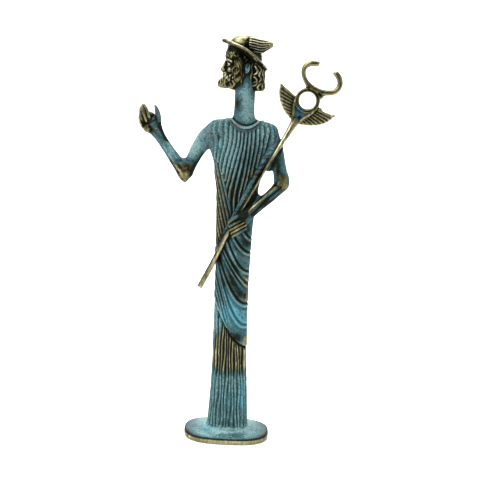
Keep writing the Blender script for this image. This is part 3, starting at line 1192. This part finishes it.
class Graph:
    """A material's nodes, with one short call for each kind that is used."""

    def __init__(self, material):
        material.use_nodes = True
        self.nodes, self.links = material.node_tree.nodes, material.node_tree.links
        self.nodes.clear()

    def fill(self, node, inputs, output=0):
        """Sets or links a node's inputs, by their names or numbers. It returns one of the node's outputs."""
        for key, value in inputs.items():
            if isinstance(value, bpy.types.NodeSocket):
                self.links.new(value, node.inputs[key])
            else:
                node.inputs[key].default_value = value
        return node.outputs[output]

    def value(self, name):
        node = self.nodes.new("ShaderNodeAttribute")
        node.attribute_name = name
        return node.outputs["Fac"]

    def noise(self, scale, detail=3.0, rough=0.55, stretch=(1, 1, 1)):
        place = self.nodes.new("ShaderNodeTexCoord").outputs["Object"]
        place = self.fill(self.nodes.new("ShaderNodeMapping"), {"Vector": place, "Scale": stretch})
        inputs = {"Vector": place, "Scale": scale, "Detail": detail, "Roughness": rough}
        return self.fill(self.nodes.new("ShaderNodeTexNoise"), inputs, "Fac")

    def math(self, kind, *values):
        node = self.nodes.new("ShaderNodeMath")
        node.operation = kind
        return self.fill(node, dict(enumerate(values)))

    def sum(self, *terms):
        """The sum of terms, each a socket, a number or a pair of socket and factor."""
        total = None
        for term in terms:
            term = self.math("MULTIPLY", *term) if isinstance(term, tuple) else term
            total = term if total is None else self.math("ADD", total, term)
        return total

    def step(self, low, high, value):
        node = self.nodes.new("ShaderNodeMapRange")
        node.interpolation_type = "SMOOTHSTEP"
        return self.fill(node, {"Value": value, "From Min": low, "From Max": high})

    def mix(self, share, first, second):
        node = self.nodes.new("ShaderNodeMix")
        node.data_type = "RGBA"
        return self.fill(node, {0: share, 6: first, 7: second}, 2)

    def blend(self, share, first, second):
        """A number between two others."""
        return self.fill(self.nodes.new("ShaderNodeMix"), {0: share, 2: first, 3: second})


# The colours of the patina and of the brass under it
TEAL_DEEP = (0.009, 0.03, 0.031, 1)
TEAL = (0.038, 0.094, 0.1, 1)
TEAL_PALE = (0.155, 0.265, 0.268, 1)
CYAN = (0.026, 0.1, 0.125, 1)
CYAN_PALE = (0.09, 0.28, 0.34, 1)
MAUVE = (0.085, 0.092, 0.102, 1)
CHALK = (0.42, 0.5, 0.46, 1)
GREEN_BLACK = (0.005, 0.0065, 0.003, 1)
BRASS_DULL = (0.065, 0.055, 0.0155, 1)
BRASS = (0.173, 0.157, 0.077, 1)
BRASS_BRIGHT = (0.46, 0.445, 0.31, 1)


def bronze_material():
    material = bpy.data.materials.new("patinated_bronze")
    graph = Graph(material)
    medium, fine = graph.noise(600, 4.0, 0.6), graph.noise(1350, 3.0, 0.6)
    pits = graph.noise(850, 2.0, 0.5)
    streak = graph.noise(420, 3.0, 0.6, (1.6, 1.6, 0.35))
    height = graph.sum((graph.value("hollow"), -1.6), (graph.value("groove"), -1.2))
    off_large = graph.math("MULTIPLY", graph.sum(graph.noise(190), -0.5), 2.8)
    off_medium = graph.math("MULTIPLY", graph.sum(medium, -0.5), 3.6)
    off_fine = graph.math("MULTIPLY", graph.sum(fine, -0.5), 5.0)
    zone_dark = graph.value("dark")

    # Verdigris: deeper in the grooves, pale on the ridges, with cyan and mauve-grey places
    mid = graph.step(-0.8, 0.1, graph.sum(height, (off_medium, 0.4), (off_fine, 0.3), (zone_dark, -0.5)))
    teal = graph.mix(mid, TEAL_DEEP, TEAL)
    pale = graph.sum(height, (off_large, 0.4), (off_medium, 0.45), (off_fine, 0.45), (zone_dark, -0.8))
    teal = graph.mix(graph.step(-0.1, 0.85, pale), teal, TEAL_PALE)
    tint = graph.value("tint")
    mauve = graph.step(0.15, 0.8, graph.sum((tint, -0.6), (off_large, 0.7), (off_medium, 0.6), 0.1))
    teal = graph.mix(graph.math("MULTIPLY", mauve, 0.7), teal, MAUVE)
    cyan = graph.step(0.2, 1.0, graph.sum(tint, (off_medium, 0.25), (off_large, 0.2)))
    pale_cyan = graph.step(-0.1, 0.7, graph.sum(height, (off_medium, 0.35), (zone_dark, -0.4)))
    teal = graph.mix(cyan, teal, graph.mix(pale_cyan, CYAN, CYAN_PALE))
    chalk = graph.sum(off_fine, (off_medium, 0.3), (height, 0.15), (off_large, 0.4), (zone_dark, -0.2))
    teal = graph.mix(graph.math("MULTIPLY", graph.step(0.8, 1.3, chalk), 0.6), teal, CHALK)
    teal = graph.mix(graph.math("MULTIPLY", graph.step(0.58, 0.68, pits), 0.7), teal, TEAL_DEEP)

    # Dark in the grooves and where the patina has gone nearly black
    dark = graph.step(0.5, 1.1, graph.sum(zone_dark, (height, -0.85), (off_medium, 0.35), (off_fine, 0.2)))
    patina = graph.mix(dark, teal, GREEN_BLACK)

    # Bare brass on what hands and cloths reach
    flecks = ((off_medium, 0.2), (off_large, 0.12), (off_fine, 0.12))
    wear = graph.sum(graph.value("bare"), (height, 0.42), *flecks)
    brass = graph.step(0.4, 0.66, wear)
    polish = graph.sum(wear, (height, 0.45), (graph.sum(streak, -0.5), 1.4))
    shine = graph.step(1.15, 2.0, polish)
    metal = graph.mix(graph.step(0.45, 1.25, polish), BRASS_DULL, BRASS)
    metal = graph.mix(shine, metal, BRASS_BRIGHT)
    sunk = graph.step(0.26, -0.1, graph.sum(height, (zone_dark, -0.22), (off_medium, 0.18)))
    metal = graph.mix(sunk, metal, GREEN_BLACK)

    relief = graph.sum((medium, 0.8), (fine, graph.blend(brass, 0.6, 0.15)))
    bumps = graph.nodes.new("ShaderNodeBump")
    patina_rough = graph.sum(0.55, (off_medium, 0.1))
    metal_rough = graph.sum(0.36, (off_medium, 0.1), (shine, -0.06))
    shader = graph.nodes.new("ShaderNodeBsdfPrincipled")
    shaded = graph.fill(shader, {
        "Base Color": graph.mix(brass, patina, metal),
        "Metallic": graph.blend(brass, 0.12, 1.0),
        "Roughness": graph.blend(brass, patina_rough, metal_rough),
        "Specular IOR Level": 0.08,
        "Normal": graph.fill(bumps, {"Strength": 0.5, "Distance": 0.00035, "Height": relief}),
    })
    output = graph.nodes.new("ShaderNodeOutputMaterial")
    graph.links.new(shaded, output.inputs[0])
    return material


def make_floor():
    """A floor that curves up into a backdrop behind the figure."""
    front, bend, radius, top, half_width, steps = -0.42, 0.5, 0.7, 3.2, 2.4, 16
    profile = [(front, 0.0), (bend, 0.0)]
    for i in range(1, steps + 1):
        turn = math.pi / 2 * i / steps
        profile.append((bend + radius * math.sin(turn), radius * (1 - math.cos(turn))))
    profile.append((bend + radius, top))
    points = [(x, y, z) for y, z in profile for x in (-half_width, half_width)]
    faces = [(2 * i, 2 * i + 1, 2 * i + 3, 2 * i + 2) for i in range(len(profile) - 1)]
    mesh = bpy.data.meshes.new("studio_floor")
    mesh.from_pydata(points, [], faces)
    mesh.shade_smooth()
    floor = bpy.data.objects.new("studio_floor", mesh)
    bpy.context.scene.collection.objects.link(floor)
    material = bpy.data.materials.new("pale_floor")
    material.use_nodes = True
    shader = material.node_tree.nodes["Principled BSDF"]
    shader.inputs["Base Color"].default_value = (0.86, 0.86, 0.86, 1)
    shader.inputs["Roughness"].default_value = 0.8
    mesh.materials.append(material)


def make_light(name, place, size, power, towards=(0, 0, 0.14)):
    data = bpy.data.lights.new(name, "AREA")
    data.shape = "RECTANGLE"
    data.size, data.size_y = size
    data.energy = power
    light = bpy.data.objects.new(name, data)
    bpy.context.scene.collection.objects.link(light)
    light.location = place
    light.rotation_euler = (Vector(towards) - Vector(place)).to_track_quat("-Z", "Y").to_euler()


def make_lights():
    make_light("key", (-0.75, -0.75, 0.95), (1.1, 1.1), 23)
    make_light("fill", (1.1, -0.5, 0.45), (0.35, 1.0), 4)
    make_light("top", (0.0, 0.3, 1.5), (2.0, 1.4), 27)
    make_light("backdrop", (0.0, 0.2, 2.0), (2.0, 0.6), 60, towards=(0, 1.2, 0.5))
    scene = bpy.context.scene
    world = scene.world or bpy.data.worlds.new("studio")
    scene.world = world
    world.use_nodes = True
    background = world.node_tree.nodes["Background"]
    background.inputs["Color"].default_value = (1, 1, 1, 1)
    background.inputs["Strength"].default_value = 0.12
    scene.view_settings.view_transform = "Standard"


figure = sculpt()
figure.data.materials.append(bronze_material())
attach(figure, "root")
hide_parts("mercury_figure")
make_floor()
make_lights()
